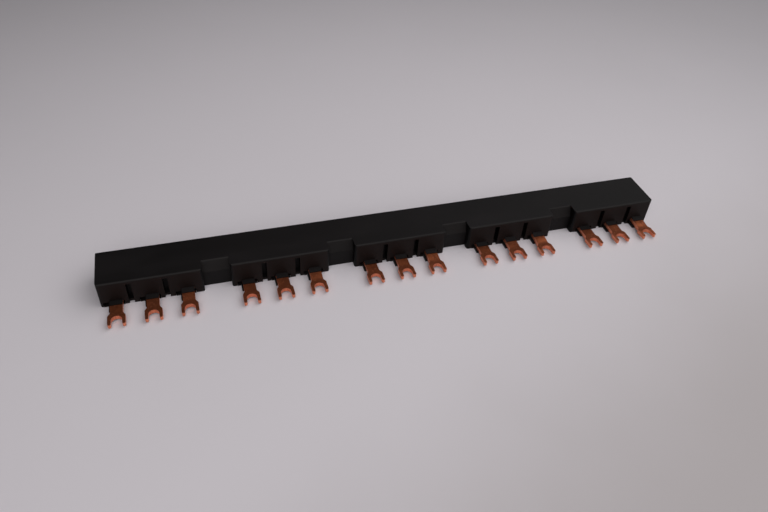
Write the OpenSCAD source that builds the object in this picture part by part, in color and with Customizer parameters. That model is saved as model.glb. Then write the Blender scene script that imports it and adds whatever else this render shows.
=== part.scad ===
// Three-phase comb busbar: three stacked copper combs in a moulded insulating housing.
// It lies on its base plate. X runs along the rail, the forks point to -Y and +Z is up.
// The origin is the middle of the underside.

/* [Rail] */
// Number of tap-off groups, one for each switching device
group_count = 5; // [2:1:6]
// Distance from one group to the next
group_pitch = 54; // [50:1:72]
// Distance between the phases of one group
phase_pitch = 14.4; // [13.5:0.1:15.5]
// How much narrower a group is than three phase distances
group_trim = 0.8; // [0.4:0.1:2.4]
// How much of the outer side of the two end groups is left off at the rail's ends
end_trim = 0.45; // [0:0.05:0.8]

/* [Housing] */
// Depth of the housing, front to back
housing_depth = 20.5; // [18:0.5:26]
// Thickness of the housing's side walls
wall = 1.4; // [1:0.1:1.8]
// Thickness of the housing's top
top_wall = 2; // [1.2:0.1:3]
// Radius of the upright corners
corner_r = 1.2; // [0.5:0.1:2]
// Radius along the top edges
edge_r = 0.8; // [0.4:0.1:1.5]
// Radius along the bottom edges
foot_r = 0.4; // [0.2:0.1:0.5]

/* [Blocks and recesses] */
// How far the front is set back between two groups, at the foot
recess_depth = 3.5; // [2.5:0.1:4.5]
// Height of the upright foot below the sloping face of a recess
recess_foot = 7.6; // [5:0.1:8.5]
// How much further back the sloping face reaches at the top
recess_lean = 1.7; // [0.5:0.1:2.5]
// Bevel along the top edge of a recess
recess_bevel = 0.4; // [0.2:0.1:0.6]
// Width of the groove between two blocks
groove_w = 2.1; // [1.4:0.1:2.4]
// How far the grooves of the two end groups stand nearer to the rail's ends
end_shift = 1.15; // [0:0.05:1.3]
// Depth of the groove
groove_depth = 3.5; // [2:0.1:4]
// Thickness of the skin that runs on over the groove
groove_skin = 1.8; // [1:0.1:3]
// Height of the web that joins two blocks at the foot of the groove
web_h = 1.2; // [0.8:0.1:2.5]
// How far that web is set back from the block fronts
web_setback = 1.5; // [0.8:0.1:2]

/* [Fork windows] */
// Width of the window at the foot of each block
window_w = 8.5; // [8:0.1:9]
// Height of the window beside the copper neck
window_h = 2.4; // [1.5:0.1:2.6]
// Offset of the window and of the tongue to the left of the fork's centre line
window_shift = 0.4; // [0:0.1:0.5]
// Length of the lip that stands over the neck
lip_len = 2.6; // [1.5:0.1:4]
// Thickness of the lip at its front edge
lip_t = 0.3; // [0.3:0.05:0.8]
// How much thicker the lip is at its root
lip_rise = 0.05; // [0:0.05:0.6]
// How much wider the lip is than the neck, on each side
lip_margin = 0.05; // [0:0.05:0.6]

/* [Base plate] */
// Thickness of the base plate
base_t = 0.9; // [0.7:0.1:1.5]
// Height of the sills that close the windows from below
sill_h = 0.6; // [0.4:0.1:0.7]
// Width of the tongue under each neck
tongue_w = 5.6; // [4.5:0.1:6.5]
// Length of the tongue in front of the blocks
tongue_len = 3.7; // [3:0.1:6]

/* [Copper combs] */
// Thickness of the copper
bar_t = 1.8; // [1.5:0.1:2.2]
// Width of the neck behind a fork
neck_w = 5.1; // [4.5:0.1:5.6]
// Width of a fork's head
head_w = 7; // [6.5:0.1:8.5]
// Width of a fork's slot
slot_w = 4.4; // [4.2:0.1:5]
// Depth of a fork's slot
slot_depth = 4.7; // [3.5:0.1:5]
// Reach of the forks in front of the blocks
fork_reach = 13.4; // [13:0.1:18]
// Distance from the block fronts to the start of the head
head_start = 6.9; // [6.2:0.1:7.4]
// Length of the sloping shoulders of the head
shoulder_len = 1.5; // [0.4:0.1:1.8]
// Slope of the middle comb's necks, in degrees
middle_slope = 3.5; // [0:0.5:6]
// Slope of the upper comb's necks, in degrees
upper_slope = 7; // [0:0.5:10]
// Inside radius of the bends
bend_r = 0.9; // [0.6:0.1:1.1]
// Distance from the housing's inner channel to the upright leg of a tap
leg_gap = 1; // [0.6:0.1:1.2]

/* [Separators] */
// Thickness of the insulating strips between the combs
separator_t = 2.2; // [1.4:0.1:2.8]

/* [Clearances] */
// Gap around the copper strips inside the housing
strip_gap = 0.6; // [0.3:0.1:1]
// Gap around the separators
separator_gap = 0.2; // [0.1:0.05:0.3]
// Gap around the base plate
plate_gap = 0.15; // [0.1:0.05:0.25]
// Gap around a neck where it passes the plastic
neck_gap = 0.1; // [0.05:0.05:0.2]

/* [Hidden] */
$fn = 48;

PLASTIC = [0.07, 0.068, 0.07];
COPPER = [0.62, 0.33, 0.2];
INSULATION = [0.75, 0.72, 0.66];

// Overshoot of a cutter past the face that it opens
CUT = 1;
// Overlap of two shapes that are joined into one piece
JOIN = 0.5;

// Straight pieces that make up a bend
BEND_STEPS = 10;

PHASES = [0, 1, 2];
SLOPES = [0, middle_slope, upper_slope];

// Lengths along the rail
group_w = 3 * phase_pitch - group_trim;
LAST_GROUP = group_count - 1;
rail_len = LAST_GROUP * group_pitch + group_w - 2 * end_trim;
GROUPS = [for (g = [0 : LAST_GROUP]) (g - LAST_GROUP / 2) * group_pitch];

// Heights, stacked from the base plate up
stack_step = bar_t + separator_t;
ceiling_z = base_t + 3 * bar_t + 2 * separator_t;
housing_h = ceiling_z + top_wall;

// Places from front to back
front_y = -housing_depth / 2;
back_y = housing_depth / 2;
recess_y = front_y + recess_depth;
slope_at_ceiling = recess_lean * (ceiling_z - recess_foot) / (housing_h - recess_foot);
channel_front = recess_y + slope_at_ceiling + wall;
channel_back = back_y - wall;
strip_front = channel_front + strip_gap;
leg_back = channel_front - leg_gap;
leg_front = leg_back - bar_t;
bend_y = front_y - head_start;
tip_y = front_y - fork_reach;

function fork_x(g, p) = GROUPS[g] + (p - 1) * phase_pitch;
// Side of the rail's end that a group stands at: left, none or right
function end_side(g) = g == 0 ? -1 : g == LAST_GROUP ? 1 : 0;
// Middle of the groove on the left (side = -1) or right (side = 1) of a group's middle block
function groove_x(g, side) = GROUPS[g] + side * phase_pitch / 2 + end_side(g) * end_shift;
// Left and right face of a group
function group_low(g) = g == 0 ? -rail_len / 2 : GROUPS[g] - group_w / 2;
function group_high(g) = g == LAST_GROUP ? rail_len / 2 : GROUPS[g] + group_w / 2;
// Left and right face of a block
function block_low(g, p) = p == 0 ? group_low(g) : groove_x(g, 2 * p - 3) + groove_w / 2;
function block_high(g, p) = p == 2 ? group_high(g) : groove_x(g, 2 * p - 1) - groove_w / 2;
// Middle of a block's window
function window_x(g, p) = fork_x(g, p) - window_shift + end_side(g) * end_shift / 2;
function strip_z(p) = base_t + p * stack_step;
// Height of a neck's underside at y
function neck_under(p, y) = base_t + tan(SLOPES[p]) * (y - bend_y);
// Height of a neck's upper face at y
function neck_over(p, y) = neck_under(p, y) + bar_t / cos(SLOPES[p]);

// Turns a shape drawn as (y, z) into a bar of length len, centred on x = 0
module along_x(len) {
    translate([-len / 2, 0, 0])
        rotate([90, 0, 90])
            linear_extrude(height = len)
                children();
}

module box(low, high) {
    translate(low)
        cube(high - low);
}

// Flat outline with all four corners rounded
module rounded_rectangle(low, high, r) {
    size = high - low;
    translate([low[0] + r, low[1]])
        square([size[0] - 2 * r, size[1]]);
    translate([low[0], low[1] + r])
        square([size[0], size[1] - 2 * r]);
    for (x = [low[0] + r, high[0] - r], y = [low[1] + r, high[1] - r])
        translate([x, y])
            circle(r);
}

// ---- Housing ----

// Outline of the housing seen from above: the rail, set back between the groups, and the groups
module housing_plan() {
    rounded_rectangle([-rail_len / 2, recess_y], [rail_len / 2, back_y], corner_r);
    for (g = [0 : LAST_GROUP])
        rounded_rectangle([group_low(g), front_y], [group_high(g), back_y], corner_r);
}

// Outline of the housing seen from its end, with the top edges rounder than the bottom ones
module housing_profile() {
    rounded_rectangle([front_y, 0], [back_y, housing_h - edge_r], foot_r);
    rounded_rectangle([front_y, foot_r], [back_y, housing_h], edge_r);
}

// Waste in front of a recess: upright at the foot, then leaning back to a small bevel
module recess_waste() {
    foot = [recess_y - CUT, recess_foot];
    lean_y = recess_y + recess_lean;
    polygon([foot, [recess_y, recess_foot],
             [lean_y, housing_h - recess_bevel],
             [lean_y + recess_bevel, housing_h],
             [lean_y + recess_bevel, housing_h + CUT],
             [recess_y - CUT, housing_h + CUT]]);
}

// Waste of the groove between two blocks: deep above the web, shallow at its foot
module groove_waste() {
    box([-groove_w / 2, front_y - CUT, web_h],
        [groove_w / 2, front_y + groove_depth, housing_h - groove_skin]);
    box([-groove_w / 2, front_y - CUT, -CUT],
        [groove_w / 2, front_y + web_setback, web_h + CUT]);
}

// Room inside the housing: the long channel for the strips and a pocket for each tap
module inner_room(gap) {
    box([-rail_len / 2 + wall + gap, channel_front + gap, -CUT],
        [rail_len / 2 - wall - gap, channel_back - gap, ceiling_z]);
    for (g = [0 : LAST_GROUP], p = PHASES)
        box([block_low(g, p) + wall + gap, front_y + wall + gap, -CUT],
            [block_high(g, p) - wall - gap, channel_front + gap + JOIN, ceiling_z]);
}

// Window in the front wall of a block: low beside the neck, higher over it
module window_waste(g, p) {
    outer = front_y - lip_len - CUT;
    inner = front_y + wall + CUT;
    translate([window_x(g, p), 0, 0])
        box([-window_w / 2, front_y - CUT, -CUT], [window_w / 2, inner, window_h]);
    translate([fork_x(g, p), 0, 0])
        along_x(neck_w + 2 * neck_gap)
            polygon([[outer, -CUT], [inner, -CUT],
                     [inner, neck_over(p, inner) + neck_gap],
                     [outer, neck_over(p, outer) + neck_gap]]);
}

// Lip that stands out over a neck, seen from its end
module lip_profile(p) {
    tip = front_y - lip_len;
    polygon([[tip, neck_over(p, tip) + neck_gap],
             [front_y + JOIN, neck_over(p, front_y + JOIN) + neck_gap],
             [front_y + JOIN, neck_over(p, front_y + JOIN) + neck_gap + lip_t + lip_rise],
             [front_y, neck_over(p, front_y) + neck_gap + lip_t + lip_rise],
             [tip, neck_over(p, tip) + neck_gap + lip_t]]);
}

module housing() {
    color(PLASTIC)
        difference() {
            union() {
                intersection() {
                    translate([0, 0, -CUT])
                        linear_extrude(height = housing_h + 2 * CUT)
                            housing_plan();
                    along_x(rail_len + 2 * CUT)
                        housing_profile();
                }
                for (g = [0 : LAST_GROUP], p = PHASES)
                    translate([fork_x(g, p), 0, 0])
                        along_x(neck_w + 2 * lip_margin)
                            lip_profile(p);
            }
            inner_room(0);
            for (g = [0 : LAST_GROUP - 1])
                translate([GROUPS[g] + group_pitch / 2, 0, 0])
                    along_x(group_pitch - group_w)
                        recess_waste();
            for (g = [0 : LAST_GROUP], side = [-1, 1])
                translate([groove_x(g, side), 0, 0])
                    groove_waste();
            for (g = [0 : LAST_GROUP], p = PHASES)
                window_waste(g, p);
        }
}

// ---- Base plate ----

// Wedge that carries a sloping neck from below
module tongue_profile(p) {
    outer = front_y - tongue_len;
    inner = front_y + wall + plate_gap;
    drop = p == 0 ? 0 : neck_gap;
    polygon([[outer, 0], [inner, 0],
             [inner, neck_under(p, inner) - drop],
             [outer, neck_under(p, outer) - drop]]);
}

module base_plate() {
    color(PLASTIC) {
        intersection() {
            inner_room(plate_gap);
            box([-rail_len, -housing_depth, 0], [rail_len, housing_depth, base_t]);
        }
        for (g = [0 : LAST_GROUP], p = PHASES) {
            translate([window_x(g, p), 0, 0])
                box([-window_w / 2 + plate_gap, front_y, 0],
                    [window_w / 2 - plate_gap, front_y + wall + plate_gap + JOIN, sill_h]);
            translate([fork_x(g, p) - window_shift, 0, 0])
                along_x(tongue_w)
                    tongue_profile(p);
        }
    }
}

// ---- Copper combs ----

// Points along an arc
function arc(centre, r, from, to) =
    [for (i = [0 : BEND_STEPS]) let (a = from + (to - from) * i / BEND_STEPS)
        centre + r * [cos(a), sin(a)]];

// Side view of the tap of a raised comb: off the strip, down the leg and along the neck
module tap_profile(p) {
    slope = SLOPES[p];
    top_z = strip_z(p);
    outer_r = bend_r + bar_t;
    foot_y = leg_front - bend_r;
    neck_len = (foot_y + outer_r * sin(slope) - bend_y) / cos(slope);
    foot_z = base_t + outer_r * cos(slope) + neck_len * sin(slope);
    head_top_y = bend_y - bar_t * tan(slope / 2);
    top_centre = [leg_back + bend_r, top_z - bend_r];
    foot_centre = [foot_y, foot_z];
    polygon(concat(
        [[strip_front + JOIN, top_z], [strip_front + JOIN, top_z + bar_t]],
        arc(top_centre, outer_r, 90, 180),
        arc(foot_centre, bend_r, 0, slope - 90),
        [[head_top_y, base_t + bar_t], [head_top_y - JOIN, base_t + bar_t],
         [head_top_y - JOIN, base_t], [bend_y, base_t]],
        arc(foot_centre, outer_r, slope - 90, 0),
        arc(top_centre, bend_r, 180, 90)));
}

// Outline of a fork's head, seen from above, from the end of the neck to the prong tips
module fork_outline(from_y) {
    prong_w = (head_w - slot_w) / 2;
    shoulder_y = bend_y - shoulder_len;
    slot_y = tip_y + slot_depth - slot_w / 2;
    prong_end = tip_y + prong_w / 2;
    difference() {
        polygon([[-neck_w / 2, from_y], [-neck_w / 2, bend_y], [-head_w / 2, shoulder_y],
                 [-head_w / 2, prong_end], [head_w / 2, prong_end],
                 [head_w / 2, shoulder_y], [neck_w / 2, bend_y], [neck_w / 2, from_y]]);
        translate([0, slot_y])
            circle(slot_w / 2);
        translate([-slot_w / 2, tip_y - CUT])
            square([slot_w, slot_y - tip_y + CUT]);
    }
    for (side = [-1, 1])
        translate([side * (head_w - prong_w) / 2, prong_end])
            circle(prong_w / 2);
}

// One copper comb: a flat strip with a tap and a fork in each group
module phase_bar(p) {
    head_from = p == 0 ? strip_front + JOIN : bend_y;
    color(COPPER) {
        box([-rail_len / 2 + wall + strip_gap, strip_front, strip_z(p)],
            [rail_len / 2 - wall - strip_gap, channel_back - strip_gap, strip_z(p) + bar_t]);
        for (g = [0 : LAST_GROUP])
            translate([fork_x(g, p), 0, 0]) {
                if (p > 0)
                    along_x(neck_w)
                        tap_profile(p);
                translate([0, 0, base_t])
                    linear_extrude(height = bar_t)
                        fork_outline(head_from);
            }
    }
}

module lower_phase_bar() { phase_bar(0); }
module middle_phase_bar() { phase_bar(1); }
module upper_phase_bar() { phase_bar(2); }

// ---- Separators ----

// Insulating strip that lies between two combs
module separator(level) {
    low_z = strip_z(level) + bar_t;
    color(INSULATION)
        box([-rail_len / 2 + wall + separator_gap, channel_front + separator_gap, low_z],
            [rail_len / 2 - wall - separator_gap, channel_back - separator_gap, low_z + separator_t]);
}

module lower_separator() { separator(0); }
module upper_separator() { separator(1); }

housing();
base_plate();
lower_phase_bar();
middle_phase_bar();
upper_phase_bar();
lower_separator();
upper_separator();
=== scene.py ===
"""Finishes, floor, light and camera for a comb busbar: a black moulded rail with copper forks."""

import math

import bpy
from bpy.props import FloatProperty, FloatVectorProperty, PointerProperty
from mathutils import Matrix, Vector


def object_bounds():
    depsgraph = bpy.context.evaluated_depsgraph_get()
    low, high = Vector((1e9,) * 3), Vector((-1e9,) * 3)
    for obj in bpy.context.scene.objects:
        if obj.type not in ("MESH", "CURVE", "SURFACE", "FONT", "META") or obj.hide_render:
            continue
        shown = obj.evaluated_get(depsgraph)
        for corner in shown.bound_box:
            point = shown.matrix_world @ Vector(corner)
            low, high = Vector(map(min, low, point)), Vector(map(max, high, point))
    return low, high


bl_info = {
    "name": "Comb Busbar Finishes",
    "version": (1, 0, 0),
    "blender": (4, 5, 0),
    "location": "3D View > Sidebar > Busbar",
    "description": "Plastic, copper and studio set for a comb busbar",
    "category": "Material",
}

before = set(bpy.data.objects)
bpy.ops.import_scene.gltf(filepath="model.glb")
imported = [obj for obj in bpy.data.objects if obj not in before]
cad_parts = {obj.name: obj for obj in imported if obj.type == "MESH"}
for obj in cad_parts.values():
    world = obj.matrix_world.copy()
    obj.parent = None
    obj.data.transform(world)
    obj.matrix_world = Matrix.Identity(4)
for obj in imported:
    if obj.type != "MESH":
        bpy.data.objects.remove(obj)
CAD_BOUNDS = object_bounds()

PLASTIC_NODES = ("housing", "base_plate")
SEPARATOR_NODES = ("lower_separator", "upper_separator")
# Each copper comb, with how far its faces are darkened all over, from 0 to 1: tarnish, and painted
# shade that makes the two lower combs darker than the upper one.
COMBS = (("lower_phase_bar", 0.45), ("middle_phase_bar", 0.42), ("upper_phase_bar", 0.0))

# Distances from the middle line of the housing towards the forks, in metres. The housing
# reaches as far forwards as backwards.
BLOCK_FRONT = CAD_BOUNDS[1].y
FORK_TIP = -CAD_BOUNDS[0].y

# Every pair below is the start and the end of a soft step.
# Parts of the direction that a face of the mouldings looks in:
LOOKS_UP = (0.30, 0.90)
LOOKS_ALONG = (0.20, 0.55)
LOOKS_TO_FORKS = (0.60, 0.95)
LEANS_TO_FORKS = (0.20, 0.50)
LEANS_BACK = (0.12, 0.28)
# Places along the rail and towards the forks, in metres:
HANDLED_END = (0.045, 0.115)
BLOCK_SIDES = (BLOCK_FRONT - 0.00575, BLOCK_FRONT - 0.00325)
BLOCK_FACES = (BLOCK_FRONT - 0.00245, BLOCK_FRONT - 0.00105)
LIPS = (BLOCK_FRONT + 0.00015, BLOCK_FRONT + 0.00055)
FORK_HEAD = (FORK_TIP - 0.00785, FORK_TIP - 0.00625)
FORK_SLOT = (FORK_TIP - 0.00485, FORK_TIP - 0.00345)
# Places on the table top, in metres:
TABLE_FADE = (0.12, 0.60)
TABLE_SHADE = (0.06, 0.19)
# Levels of the noise that shapes each mark:
RUBBED = (0.38, 0.72)
SCUFFED = (0.60, 0.78)
SPOTTED = (0.40, 0.62)
GLINTING = (0.56, 0.72)
SHEARED = (0.35, 0.75)
CLOUDED = (0.40, 0.65)
# How far up or down a rolled face of the combs looks, where a stamped edge doesn't:
FLAT_FACE = (0.45, 0.80)

# Shares of the rubbed colour: on every face, more on top, and where the rail is handled.
RUB_EVERYWHERE, RUB_TOP, RUB_HANDLED = 0.20, 0.35, 0.45
# Shares of the painted sheen colour: on leaning faces, more where they are rubbed, and on the lips
# as painted light.
SLOPE_SHEEN_SHARE, SLOPE_SHEEN_RUBBED, LIP_SHEEN_SHARE = 0.65, 0.35, 0.50
# Share of the painted shade colour on the blocks' sides and the groove walls.
SIDE_SHADE_SHARE = 0.95
# Darkening of the faces just behind a fork's slot, share of the edge colour in a painted glint, and
# brightness of a stamped edge's dull streaks against its bright ones.
WAIST_DARKENING, GLINT_SHARE, DULL_EDGE = 0.80, 0.20, 0.62
# How far apart the noise of like pieces is taken, in metres.
MOULDING_SHIFT, COMB_SHIFT = 0.37, 0.53

# The palest point of the table top, from which its painted light falls off, the way its painted
# shade deepens, how far its clouds sway both, and how far it lies under the part, in metres.
BRIGHTEST = (-0.02, -0.05, 0.0)
SHADE_WAY = (0.420, -0.907, 0.0)
CLOUD_SWAY = 0.03
FLOOR_GAP = 0.00002

# Name, power setting, width and place of each lamp, in metres from the middle of the rail.
LAMPS = (
    ("right_lamp", "right_power", 1.5, (0.75, 0.0, 1.0)),
    ("back_lamp", "back_power", 1.3, (0.9, 0.55, 0.9)),
    ("front_lamp", "front_power", 1.6, (-0.3, -0.95, 1.0)),
    ("corner_lamp", "corner_power", 1.4, (0.9, -0.75, 0.8)),
)
ROOM_COLOUR = (1.0, 0.985, 0.99, 1.0)
CAMERA_CLIP = 0.01


# ---------------------------------------------------------------- sizes and colours


def colour_setting(name, description, default):
    """A colour that a user may change."""
    return FloatVectorProperty(
        name=name,
        description=description,
        subtype="COLOR",
        size=3,
        min=0.0,
        max=1.0,
        default=default,
    )


def length_setting(name, description, default):
    """A length that a user may change, in metres."""
    return FloatProperty(
        name=name,
        description=description,
        unit="LENGTH",
        min=0.000001,
        precision=6,
        default=default,
    )


def roughness_setting(name, description, default):
    """A mean roughness that a user may change."""
    return FloatProperty(
        name=name, description=description, min=0.05, max=1.0, default=default
    )


def power_setting(name, description, default):
    """The power of a lamp, in watts."""
    return FloatProperty(
        name=name, description=description, unit="POWER", min=0.0, default=default
    )


def angle_setting(name, description, degrees):
    """An angle, given in degrees."""
    return FloatProperty(
        name=name, description=description, unit="ROTATION", default=math.radians(degrees)
    )


class PlasticFinish(bpy.types.PropertyGroup):
    """Black moulded plastic of the housing and its base plate."""

    colour: colour_setting("Colour", "Body colour of the moulding", (0.0054, 0.0045, 0.0045))
    worn_colour: colour_setting(
        "Rubbed colour", "Colour where handling has greyed the surface", (0.0124, 0.0102, 0.0108)
    )
    # Painted shade: a darker, warmer copy of the body colour for the upright faces on the fork
    # side.
    front_shade_colour: colour_setting(
        "Front colour",
        "Warmer tone of the upright faces on the fork side",
        (0.0078, 0.0043, 0.0036),
    )
    # Painted shade: a near-black colour where shade falls on the blocks' sides and the groove
    # walls.
    side_shade_colour: colour_setting(
        "Side colour",
        "Shadowed deep black of the blocks' sides and of the groove walls",
        (0.0010, 0.0008, 0.0008),
    )
    # Painted sheen: a lighter grey colour for the leaning faces, and painted light on the lips.
    slope_sheen_colour: colour_setting(
        "Slope colour", "Greyer tone of the leaning faces and of the lips", (0.0135, 0.0116, 0.0112)
    )
    roughness: roughness_setting("Roughness", "Mean roughness of the satin surface", 0.52)
    grain: length_setting("Grain size", "Size of one grain of the eroded mould surface", 0.00022)
    grain_depth: length_setting("Grain depth", "Depth of the eroded mould surface", 0.000012)
    cloud: length_setting("Cloud size", "Size of the patches that handling has greyed", 0.016)
    scuff: length_setting("Scuff width", "Width of one fine scuff", 0.0009)
    wave: length_setting("Wave size", "Size of the shallow waves that moulding leaves", 0.011)
    wave_depth: length_setting("Wave depth", "Depth of the shallow waves", 0.00006)


class CopperFinish(bpy.types.PropertyGroup):
    """Bare copper: brown rolled faces and bright stamped edges."""

    face_colour: colour_setting(
        "Face colour", "Brown tone of the rolled, aged faces", (0.325, 0.090, 0.034)
    )
    tarnish_colour: colour_setting(
        "Tarnish colour", "Darkest tone of the tarnish on the faces", (0.165, 0.045, 0.018)
    )
    edge_colour: colour_setting(
        "Edge colour", "Bright tone of freshly stamped edges", (0.860, 0.290, 0.160)
    )
    roughness: roughness_setting("Roughness", "Mean roughness of the rolled faces", 0.46)
    edge_roughness: roughness_setting(
        "Edge roughness", "Mean roughness of the stamped edges", 0.38
    )
    roll_line: length_setting(
        "Rolling line width", "Width of one rolling line on the faces", 0.00018
    )
    shear_line: length_setting(
        "Shear line width", "Width of one shear line on the stamped edges", 0.00016
    )
    patch: length_setting("Tarnish patch", "Size of one patch of tarnish", 0.0042)
    # Painted glints: the size of one bright spot of the edge colour painted on the rolled faces.
    glint: length_setting("Glint size", "Size of one spot that is rubbed bright", 0.0011)
    relief: length_setting("Relief", "Height of the rolling and shear lines", 0.000010)


class InsulationFinish(bpy.types.PropertyGroup):
    """Natural moulded plastic of the two separators."""

    colour: colour_setting("Colour", "Body colour of the separators", (0.62, 0.58, 0.50))
    flow_colour: colour_setting(
        "Flow colour", "Colour of the clouded flow marks", (0.54, 0.50, 0.42)
    )
    flow: length_setting("Flow mark size", "Width of one clouded flow mark", 0.008)
    grain: length_setting("Grain size", "Size of one grain of the mould surface", 0.0003)
    grain_depth: length_setting("Grain depth", "Depth of the mould surface", 0.00001)


class StudioSet(bpy.types.PropertyGroup):
    """Floor, lamps and camera."""

    floor_colour: colour_setting(
        "Floor colour", "Colour of the pale table top near the part", (0.748, 0.701, 0.739)
    )
    # Painted light falloff: the table top turns to this colour away from its palest point.
    floor_edge_colour: colour_setting(
        "Outer floor colour", "Colour of the table top far from the part", (0.385, 0.363, 0.383)
    )
    shade_colour: colour_setting(
        "Shaded floor colour",
        "Colour of the table top where it falls into shade to the front and right",
        (0.500, 0.458, 0.464),
    )
    floor_size: length_setting("Floor size", "Side of the square table top", 6.0)
    floor_cloud: length_setting("Floor cloud", "Size of one cloud of the table top's tone", 0.09)
    floor_grain: length_setting("Floor grain", "Size of one grain of the table top", 0.0007)
    grain_depth: length_setting("Grain depth", "Depth of the table top's grain", 0.00001)
    right_power: power_setting("Right lamp", "Power of the soft lamp on the right", 5.2)
    back_power: power_setting("Back lamp", "Power of the soft lamp behind the right end", 1.8)
    front_power: power_setting("Front lamp", "Power of the soft lamp over the fork side", 9.8)
    corner_power: power_setting(
        "Corner lamp", "Power of the soft lamp in front of the right end", 4.2
    )
    room_light: FloatProperty(
        name="Room light",
        description="Strength of the even light of the room",
        min=0.0,
        default=0.06,
    )
    lens: FloatProperty(
        name="Lens",
        description="Focal length of the camera",
        unit="CAMERA",
        min=10.0,
        default=32.34,
    )
    distance: length_setting(
        "Distance", "Distance from the camera to the point it looks at", 0.3161
    )
    turn: angle_setting(
        "Turn", "How far the camera is turned towards the right end of the rail", 18.926
    )
    tilt: angle_setting("Tilt", "How far the camera looks down", 41.989)
    roll: angle_setting("Roll", "How far the camera leans to its left", 3.933)
    aim: FloatVectorProperty(
        name="Aim",
        description="Point the camera looks at, from the middle of the rail's underside",
        subtype="TRANSLATION",
        size=3,
        precision=4,
        default=(-0.00625, -0.00601, 0.0),
    )


# ---------------------------------------------------------------- shader maths


class Field:
    """A value that runs over a surface. Python's operators on it add Math nodes."""

    def __init__(self, shader, socket):
        self.shader = shader
        self.socket = socket

    def _math(self, operation, first, second=None):
        """One Math node on one or two values."""
        inputs = {0: first} if second is None else {0: first, 1: second}
        return self.shader.field("Math", {"operation": operation}, inputs)

    def __add__(self, other):
        return self._math("ADD", self, other)

    def __radd__(self, other):
        return self._math("ADD", other, self)

    def __sub__(self, other):
        return self._math("SUBTRACT", self, other)

    def __rsub__(self, other):
        return self._math("SUBTRACT", other, self)

    def __mul__(self, other):
        return self._math("MULTIPLY", self, other)

    def __rmul__(self, other):
        return self._math("MULTIPLY", other, self)

    def __neg__(self):
        return self._math("MULTIPLY", self, -1.0)

    def __abs__(self):
        return self._math("ABSOLUTE", self)


class Shader:
    """The nodes of one surface material."""

    def __init__(self, name):
        self.material = bpy.data.materials.new(name)
        self.material.use_nodes = True
        self.tree = self.material.node_tree
        self.tree.nodes.clear()

    def node(self, kind, settings=None, inputs=None):
        """Adds a node: its type, then its settings, then the values or links of its sockets."""
        made = self.tree.nodes.new("ShaderNode" + kind)
        for name, value in (settings or {}).items():
            setattr(made, name, value)
        for name, value in (inputs or {}).items():
            if isinstance(value, Field):
                self.tree.links.new(value.socket, made.inputs[name])
            else:
                made.inputs[name].default_value = value
        return made

    def field(self, kind, settings=None, inputs=None, output=0):
        """Adds a node and gives one of its outputs."""
        return Field(self, self.node(kind, settings, inputs).outputs[output])

    def place(self):
        """Place on the object, in metres."""
        return self.field("TexCoord", output="Object")

    def facing(self):
        """The three parts of the direction that the surface faces."""
        return self.parts(self.field("TexCoord", output="Normal"))

    def parts(self, vector):
        """The three parts of a vector."""
        split = self.node("SeparateXYZ", inputs={"Vector": vector})
        return [Field(self, out) for out in split.outputs]

    def with_vector(self, operation, place, vector, output=0):
        """The place combined with a fixed vector."""
        return self.field("VectorMath", {"operation": operation}, {0: place, 1: vector}, output)

    def stretched(self, place, factors):
        """The place scaled by a factor along each axis."""
        return self.with_vector("MULTIPLY", place, factors)

    def noise(self, place, size, detail=2.0, roughness=0.5):
        """Noise with blotches of that size in metres."""
        inputs = {"Vector": place, "Scale": 1.0 / size, "Detail": detail, "Roughness": roughness}
        return self.field("TexNoise", inputs=inputs)

    def step(self, value, limits):
        """A soft step: 0 where the value is under the first limit, 1 over the second."""
        start, end = limits
        inputs = {"Value": value, "From Min": start, "From Max": end}
        return self.field("MapRange", {"interpolation_type": "SMOOTHSTEP"}, inputs)

    def mix(self, share, first, second):
        """Colour between first and second."""
        inputs = {0: share, 6: _opaque(first), 7: _opaque(second)}
        return self.field("Mix", {"data_type": "RGBA"}, inputs, output=2)

    def bump(self, height, distance, under=None):
        """A bumped normal. Height runs from 0 to 1 and stands for that distance in metres."""
        inputs = {"Height": height, "Distance": distance, "Strength": 1.0}
        if under is not None:
            inputs["Normal"] = under
        return self.field("Bump", inputs=inputs)

    def finish(self, inputs):
        """Adds the surface shader and gives the material."""
        surface = self.field("BsdfPrincipled", inputs=inputs)
        self.node("OutputMaterial", inputs={"Surface": surface})
        return self.material


def _opaque(colour):
    """A colour with full alpha. Links pass through."""
    return colour if isinstance(colour, Field) else (*colour, 1.0)


# ---------------------------------------------------------------- materials


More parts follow.
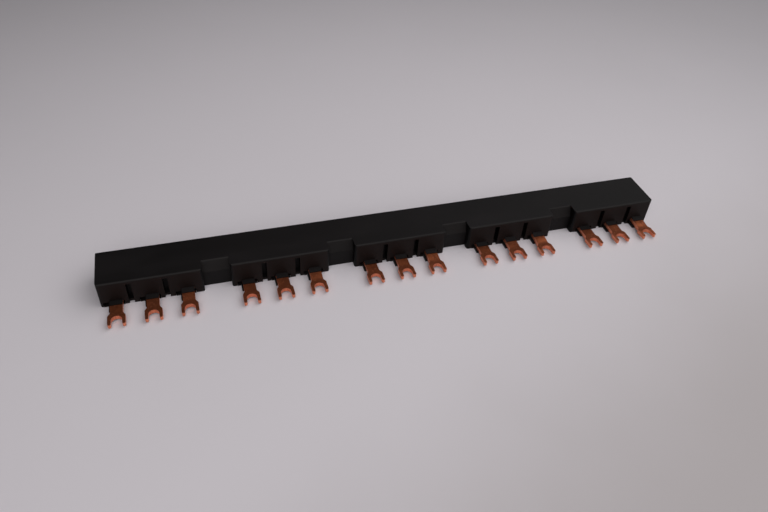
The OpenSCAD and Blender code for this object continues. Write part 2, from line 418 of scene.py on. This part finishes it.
def black_plastic(look, name, seed):
    """Satin black moulding: spark-eroded grain, faint flow clouds, greyed by handling, with painted
    sheen on its slopes and painted shade on its sides and fronts.
    """
    shader = Shader(name)
    place = shader.place()
    offset = shader.with_vector("ADD", place, (seed, seed, 0.0))
    face_x, face_y, face_z = shader.facing()
    along, depth, _ = shader.parts(place)
    reach = -depth

    clouds = shader.noise(shader.stretched(offset, (0.35, 1.0, 1.0)), look.cloud, 3.0, 0.55)
    rubbed = shader.step(clouds, RUBBED)
    upward = shader.step(face_z, LOOKS_UP)
    handled = upward * (1.0 - shader.step(abs(along), HANDLED_END))
    worn = rubbed * (RUB_EVERYWHERE + RUB_TOP * upward) + RUB_HANDLED * handled
    colour = shader.mix(worn, look.colour, look.worn_colour)

    # Painted sheen on the leaning faces, and painted light on the lips.
    leaning = shader.step(-face_y, LEANS_TO_FORKS) * shader.step(face_z, LEANS_BACK)
    lips = upward * shader.step(reach, LIPS)
    slope_sheen = leaning * (SLOPE_SHEEN_SHARE + SLOPE_SHEEN_RUBBED * rubbed) + LIP_SHEEN_SHARE * lips
    colour = shader.mix(slope_sheen, colour, look.slope_sheen_colour)
    # Painted shade: the upright faces on the fork side get the darker, warmer front colour.
    fork_side = shader.step(-face_y, LOOKS_TO_FORKS) * shader.step(reach, BLOCK_FACES)
    colour = shader.mix(fork_side * (1.0 - leaning), colour, look.front_shade_colour)
    # Painted shade: the blocks' sides and the groove walls are darkened to near black.
    sides = shader.step(abs(face_x), LOOKS_ALONG) * shader.step(reach, BLOCK_SIDES)
    colour = shader.mix(SIDE_SHADE_SHARE * sides, colour, look.side_shade_colour)

    grain = shader.noise(offset, look.grain, 2.0, 0.6)
    scuffs = shader.noise(shader.stretched(offset, (0.12, 1.0, 1.0)), look.scuff, 4.0, 0.7)
    scuffed = shader.step(scuffs, SCUFFED)
    roughness = (look.roughness - 0.05) + 0.10 * grain - 0.08 * scuffed + 0.06 * rubbed
    waves = shader.noise(offset, look.wave, 1.0, 0.4)
    normal = shader.bump(waves, look.wave_depth)
    normal = shader.bump(grain, look.grain_depth, normal)
    return shader.finish(
        {
            "Base Color": colour,
            "Roughness": roughness,
            "Normal": normal,
            "Specular IOR Level": 0.15,
        }
    )


def stamped_copper(look, name, seed, age_and_shade):
    """Bare copper: brown rolled faces with rolling lines, tarnish, painted shade and painted
    glints, bright stamped edges.
    """
    shader = Shader(name)
    place = shader.place()
    offset = shader.with_vector("ADD", place, (seed, 0.0, seed))
    _, _, face_z = shader.facing()
    _, depth, _ = shader.parts(place)
    edge = 1.0 - shader.step(abs(face_z), FLAT_FACE)

    patches = shader.noise(offset, look.patch, 4.0, 0.6)
    lines = shader.noise(shader.stretched(offset, (1.0, 0.06, 1.0)), look.roll_line, 2.0, 0.6)
    spots = shader.step(patches * 0.8 + lines * 0.2, SPOTTED)
    waist = shader.step(-depth, FORK_HEAD) * (1.0 - shader.step(-depth, FORK_SLOT))
    # The all-over darkening holds tarnish and painted shade.
    tarnish = spots + (1.0 - spots) * (age_and_shade + (WAIST_DARKENING - age_and_shade) * waist)
    face_colour = shader.mix(tarnish, look.face_colour, look.tarnish_colour)
    # Painted glints: bright spots of the edge colour painted on the rolled faces.
    glints = shader.step(shader.noise(offset, look.glint, 3.0, 0.65), GLINTING)
    face_colour = shader.mix(GLINT_SHARE * glints, face_colour, look.edge_colour)

    shear = shader.noise(shader.stretched(offset, (1.0, 1.0, 0.08)), look.shear_line, 2.0, 0.6)
    dull = tuple(DULL_EDGE * part for part in look.edge_colour)
    edge_colour = shader.mix(shader.step(shear, SHEARED), look.edge_colour, dull)
    colour = shader.mix(edge, face_colour, edge_colour)

    face_rough = look.roughness + 0.16 * tarnish + 0.08 * (lines - 0.5)
    edge_rough = look.edge_roughness + 0.14 * (shear - 0.5)
    roughness = face_rough + edge * (edge_rough - face_rough)
    lines_here = lines + edge * (shear - lines)
    return shader.finish(
        {
            "Base Color": colour,
            "Metallic": 0.85,
            "Roughness": roughness,
            "Normal": shader.bump(lines_here, look.relief),
        }
    )


def natural_plastic(look, name):
    """Pale natural plastic with clouded flow marks."""
    shader = Shader(name)
    place = shader.place()
    flow = shader.noise(shader.stretched(place, (0.25, 1.0, 1.0)), look.flow, 3.0, 0.6)
    grain = shader.noise(place, look.grain, 2.0, 0.5)
    return shader.finish(
        {
            "Base Color": shader.mix(shader.step(flow, CLOUDED), look.colour, look.flow_colour),
            "Roughness": 0.42 + 0.10 * grain,
            "Normal": shader.bump(grain, look.grain_depth),
        }
    )


def table_top(studio):
    """Pale matt table top with a painted light falloff away from the part and painted shade to the
    front and right.
    """
    shader = Shader("table_top")
    place = shader.place()
    away = shader.with_vector("DISTANCE", place, BRIGHTEST, "Value")
    into_shade = shader.with_vector("DOT_PRODUCT", place, SHADE_WAY, "Value")
    cloud = shader.noise(place, studio.floor_cloud, 3.0, 0.5)
    fine = shader.noise(place, studio.floor_grain, 2.0, 0.6)
    # Painted light falloff: the table top darkens away from its palest point.
    light_falloff = shader.step(away + CLOUD_SWAY * cloud, TABLE_FADE)
    colour = shader.mix(light_falloff, studio.floor_colour, studio.floor_edge_colour)
    shade = shader.step(into_shade + CLOUD_SWAY * cloud, TABLE_SHADE)
    return shader.finish(
        {
            "Base Color": shader.mix(shade, colour, studio.shade_colour),
            "Roughness": 0.62 + 0.08 * cloud,
            "Normal": shader.bump(fine, studio.grain_depth),
        }
    )


def dress(names, material):
    """Puts the material into every slot of the named CAD nodes."""
    for name in names:
        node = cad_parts.get(name)
        if node is None:
            raise RuntimeError(f"the model has no node named {name}")
        if not node.material_slots:
            node.data.materials.append(material)
        for held in node.material_slots:
            held.material = material


# ---------------------------------------------------------------- operators


class BUSBAR_OT_mouldings(bpy.types.Operator):
    """Finish the housing and its base plate in satin black plastic"""

    bl_idname = "busbar.mouldings"
    bl_label = "Black Mouldings"

    def execute(self, context):
        look = context.scene.busbar_plastic
        for seed, name in enumerate(PLASTIC_NODES):
            dress([name], black_plastic(look, f"black_plastic_{name}", MOULDING_SHIFT * seed))
        return {"FINISHED"}


class BUSBAR_OT_phase_bars(bpy.types.Operator):
    """Finish the three stamped combs in bare copper"""

    bl_idname = "busbar.phase_bars"
    bl_label = "Copper Combs"

    def execute(self, context):
        look = context.scene.busbar_copper
        for seed, (name, age_and_shade) in enumerate(COMBS):
            dress([name], stamped_copper(look, f"copper_{name}", COMB_SHIFT * seed, age_and_shade))
        return {"FINISHED"}


class BUSBAR_OT_separators(bpy.types.Operator):
    """Finish the two hidden separators in natural plastic"""

    bl_idname = "busbar.separators"
    bl_label = "Separators"

    def execute(self, context):
        dress(SEPARATOR_NODES, natural_plastic(context.scene.busbar_insulation, "insulation"))
        return {"FINISHED"}


class BUSBAR_OT_studio(bpy.types.Operator):
    """Set out the pale table top, the soft lamps, the room light and the camera"""

    bl_idname = "busbar.studio"
    bl_label = "Studio"

    def execute(self, context):
        studio = context.scene.busbar_studio
        low, high = CAD_BOUNDS
        middle = Vector(((low.x + high.x) / 2, 0.0, low.z))
        make_floor(context.scene, studio, middle)
        make_lamps(context.scene, studio, middle)
        make_room(context.scene, studio)
        make_camera(context.scene, studio, middle)
        return {"FINISHED"}


def make_floor(scene, studio, middle):
    """A table top just under the part."""
    half = studio.floor_size / 2
    mesh = bpy.data.meshes.new("table_top")
    corners = [(-half, -half, 0), (half, -half, 0), (half, half, 0), (-half, half, 0)]
    mesh.from_pydata(corners, [], [(0, 1, 2, 3)])
    mesh.materials.append(table_top(studio))
    floor = bpy.data.objects.new("table_top", mesh)
    floor.location = middle - Vector((0.0, 0.0, FLOOR_GAP))
    scene.collection.objects.link(floor)


def make_lamps(scene, studio, middle):
    """Broad soft lamps on the right of the rail and over its forks."""
    for name, setting, width, place in LAMPS:
        light = bpy.data.lights.new(name, "AREA")
        light.shape = "DISK"
        light.size = width
        light.energy = getattr(studio, setting)
        lamp = bpy.data.objects.new(name, light)
        lamp.location = middle + Vector(place)
        lamp.rotation_euler = (-Vector(place)).to_track_quat("-Z", "Y").to_euler()
        scene.collection.objects.link(lamp)


def make_room(scene, studio):
    """Even light from all sides."""
    world = scene.world or bpy.data.worlds.new("room")
    scene.world = world
    world.use_nodes = True
    background = world.node_tree.nodes.get("Background")
    if background is None:
        raise RuntimeError("the world has no background node")
    background.inputs["Color"].default_value = ROOM_COLOUR
    background.inputs["Strength"].default_value = studio.room_light


def make_camera(scene, studio, middle):
    """A camera before the left half of the rail, turned to the right and leaning slightly."""
    level = math.cos(studio.tilt)
    ahead = Vector(
        (level * math.sin(studio.turn), level * math.cos(studio.turn), -math.sin(studio.tilt))
    )
    right = ahead.cross(Vector((0.0, 0.0, 1.0))).normalized()
    above = right.cross(ahead)
    across = right * math.cos(studio.roll) + above * math.sin(studio.roll)
    upright = above * math.cos(studio.roll) - right * math.sin(studio.roll)
    turned = Matrix((across, upright, -ahead)).transposed().to_4x4()

    lens = bpy.data.cameras.new("camera")
    lens.lens = studio.lens
    lens.clip_start = CAMERA_CLIP
    camera = bpy.data.objects.new("camera", lens)
    place = middle + Vector(studio.aim) - ahead * studio.distance
    camera.matrix_world = Matrix.Translation(place) @ turned
    scene.collection.objects.link(camera)
    scene.camera = camera
    scene.view_settings.view_transform = "Standard"


# ---------------------------------------------------------------- panel and registration


class BUSBAR_PT_finishes(bpy.types.Panel):
    """Finishes and studio of the comb busbar"""

    bl_idname = "BUSBAR_PT_finishes"
    bl_label = "Comb Busbar"
    bl_space_type = "VIEW_3D"
    bl_region_type = "UI"
    bl_category = "Busbar"

    def draw(self, context):
        for group, operator in PANEL_ROWS:
            box = self.layout.box()
            settings = getattr(context.scene, group)
            for name in settings.bl_rna.properties.keys():
                if name not in {"rna_type", "name"}:
                    box.prop(settings, name)
            box.operator(operator)


PANEL_ROWS = (
    ("busbar_plastic", "busbar.mouldings"),
    ("busbar_copper", "busbar.phase_bars"),
    ("busbar_insulation", "busbar.separators"),
    ("busbar_studio", "busbar.studio"),
)
GROUPS = (
    ("busbar_plastic", PlasticFinish),
    ("busbar_copper", CopperFinish),
    ("busbar_insulation", InsulationFinish),
    ("busbar_studio", StudioSet),
)
OPERATORS = (
    BUSBAR_OT_mouldings,
    BUSBAR_OT_phase_bars,
    BUSBAR_OT_separators,
    BUSBAR_OT_studio,
)


def register():
    for name, group in GROUPS:
        bpy.utils.register_class(group)
        setattr(bpy.types.Scene, name, PointerProperty(type=group))
    for kind in (*OPERATORS, BUSBAR_PT_finishes):
        bpy.utils.register_class(kind)


def unregister():
    for kind in (BUSBAR_PT_finishes, *reversed(OPERATORS)):
        bpy.utils.unregister_class(kind)
    for name, group in reversed(GROUPS):
        delattr(bpy.types.Scene, name)
        bpy.utils.unregister_class(group)


def main():
    register()
    bpy.ops.busbar.mouldings()
    bpy.ops.busbar.phase_bars()
    bpy.ops.busbar.separators()
    bpy.ops.busbar.studio()


if __name__ == "__main__":
    main()
